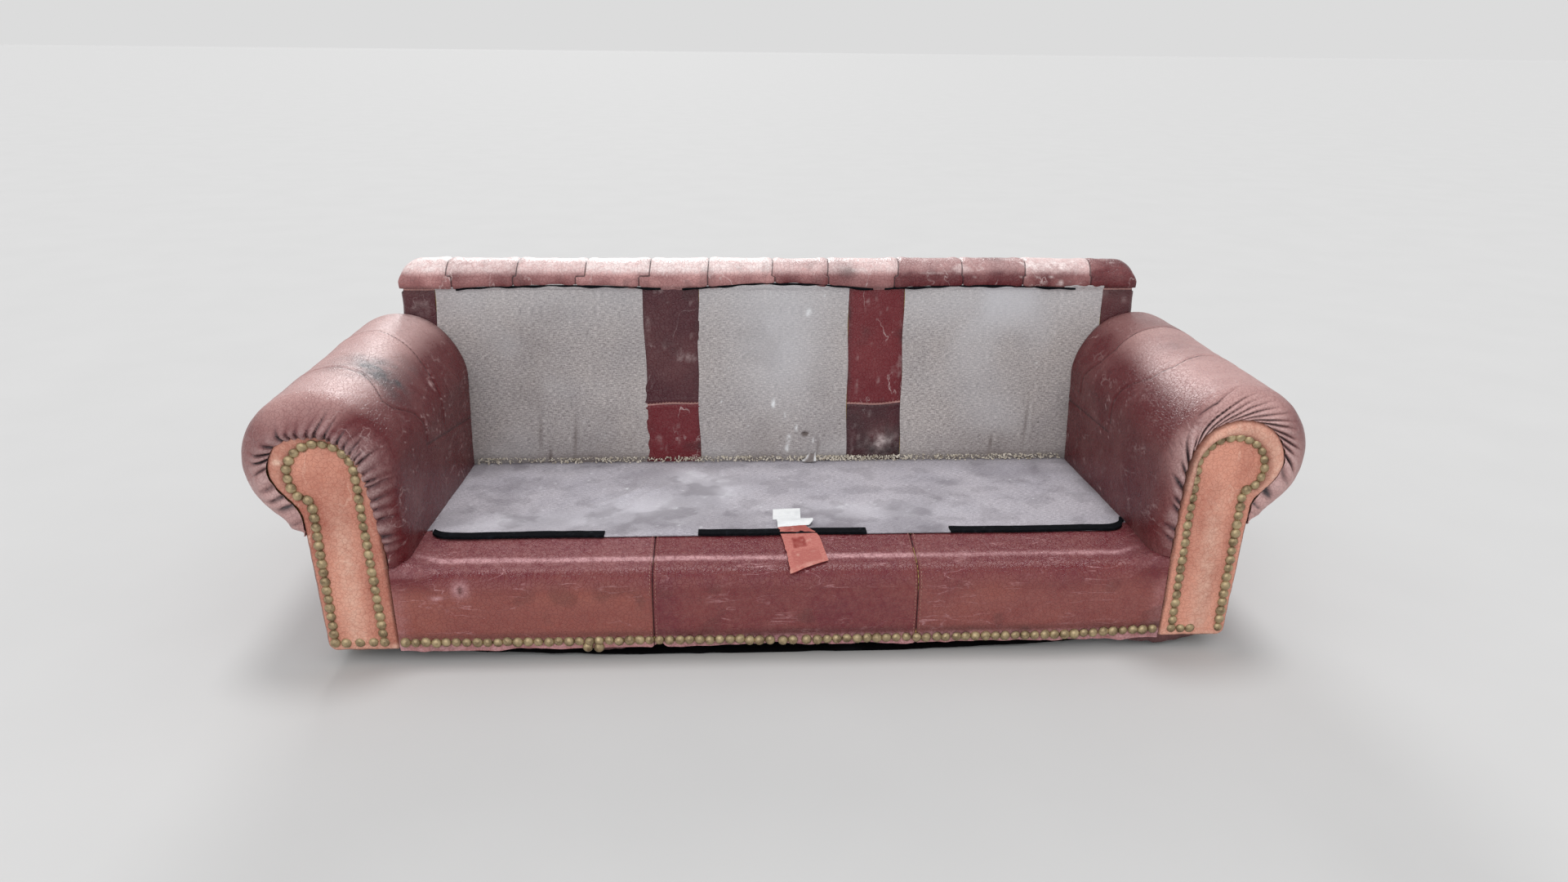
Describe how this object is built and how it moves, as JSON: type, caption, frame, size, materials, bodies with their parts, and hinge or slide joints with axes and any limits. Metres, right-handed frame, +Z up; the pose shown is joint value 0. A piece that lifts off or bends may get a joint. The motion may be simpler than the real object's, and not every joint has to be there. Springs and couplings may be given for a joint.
{
  "type": "worn leather sofa",
  "caption": "Rolled-arm three-seat leather sofa without its loose cushions: scroll facings, gathered arm rolls, grey canvas seat and back, low stance.",
  "frame": {"origin": "on the floor under the middle of the sofa, midway between front and back", "axes": "+X to the sitter's left, the picture's right, +Y towards the back, +Z up"},
  "size_m": [2.1998, 0.848, 0.719],
  "materials": {
    "facing_leather": "tan leather, rubbed pale and scratched",
    "arm_leather": "oxblood leather faded to dusty mauve on top, gathered at the front",
    "rail_leather": "red-brown leather, glossy on the nosing, cracked and scratched",
    "back_leather": "oxblood leather, faded pink in patches on the top roll",
    "nail_brass": "antique domed nailheads, dull",
    "canvas": "grey cotton canvas, woven, soiled",
    "black_tape": "black woven hook tape",
    "dust_cloth": "black dust cloth, matte",
    "label_white_cloth": "blank white label cloth",
    "label_salmon_cloth": "blank salmon label cloth, torn",
    "foam": "aged foam and wadding",
    "hardwood": "sawn hardwood, bare",
    "spring_steel": "drawn spring wire",
    "foot_plastic": "black moulded glide"
  },
  "bodies": {
    "root": {"arm_cover_left": "arm_leather", "arm_cover_right": "arm_leather", "arm_pad_left": "foam", "arm_pad_right": "foam", "arm_rail_left": "hardwood", "arm_rail_right": "hardwood", "back_canvas_left": "canvas", "back_canvas_middle": "canvas", "back_canvas_right": "canvas", "back_end_left": "back_leather", "back_end_right": "back_leather", "back_pad": "foam", "back_post_left": "hardwood", "back_post_right": "hardwood", "back_rail": "hardwood", "back_strap_left": "back_leather", "back_strap_right": "back_leather", "back_upright_left": "hardwood", "back_upright_right": "hardwood", "deck_canvas": "canvas", "deck_pad": "foam", "dust_cover": "dust_cloth", "facing_left": "facing_leather", "facing_right": "facing_leather", "foot_front_left": "foot_plastic", "foot_front_right": "foot_plastic", "foot_rear_left": "foot_plastic", "foot_rear_right": "foot_plastic", "front_rail": "hardwood", "hook_tape_left": "black_tape", "hook_tape_middle": "black_tape", "hook_tape_right": "black_tape", "label_flap": "label_salmon_cloth", "label_white": "label_white_cloth", "outside_arm_left": "arm_leather", "outside_arm_right": "arm_leather", "outside_back": "back_leather", "rail_cover_left": "rail_leather", "rail_cover_middle": "rail_leather", "rail_cover_right": "rail_leather", "rail_pad": "foam", "rear_seat_rail": "hardwood", "scroll_board_left": "hardwood", "scroll_board_right": "hardwood", "seat_spring_1": "spring_steel", "seat_spring_2": "spring_steel", "seat_spring_3": "spring_steel", "seat_spring_4": "spring_steel", "seat_spring_5": "spring_steel", "seat_spring_6": "spring_steel", "seat_spring_7": "spring_steel", "seat_spring_8": "spring_steel", "seat_spring_9": "spring_steel", "side_rail_left": "hardwood", "side_rail_right": "hardwood", "top_rail": "hardwood", "top_roll_cover": "back_leather", "top_roll_pad": "foam"}
  },
  "joints": []
}
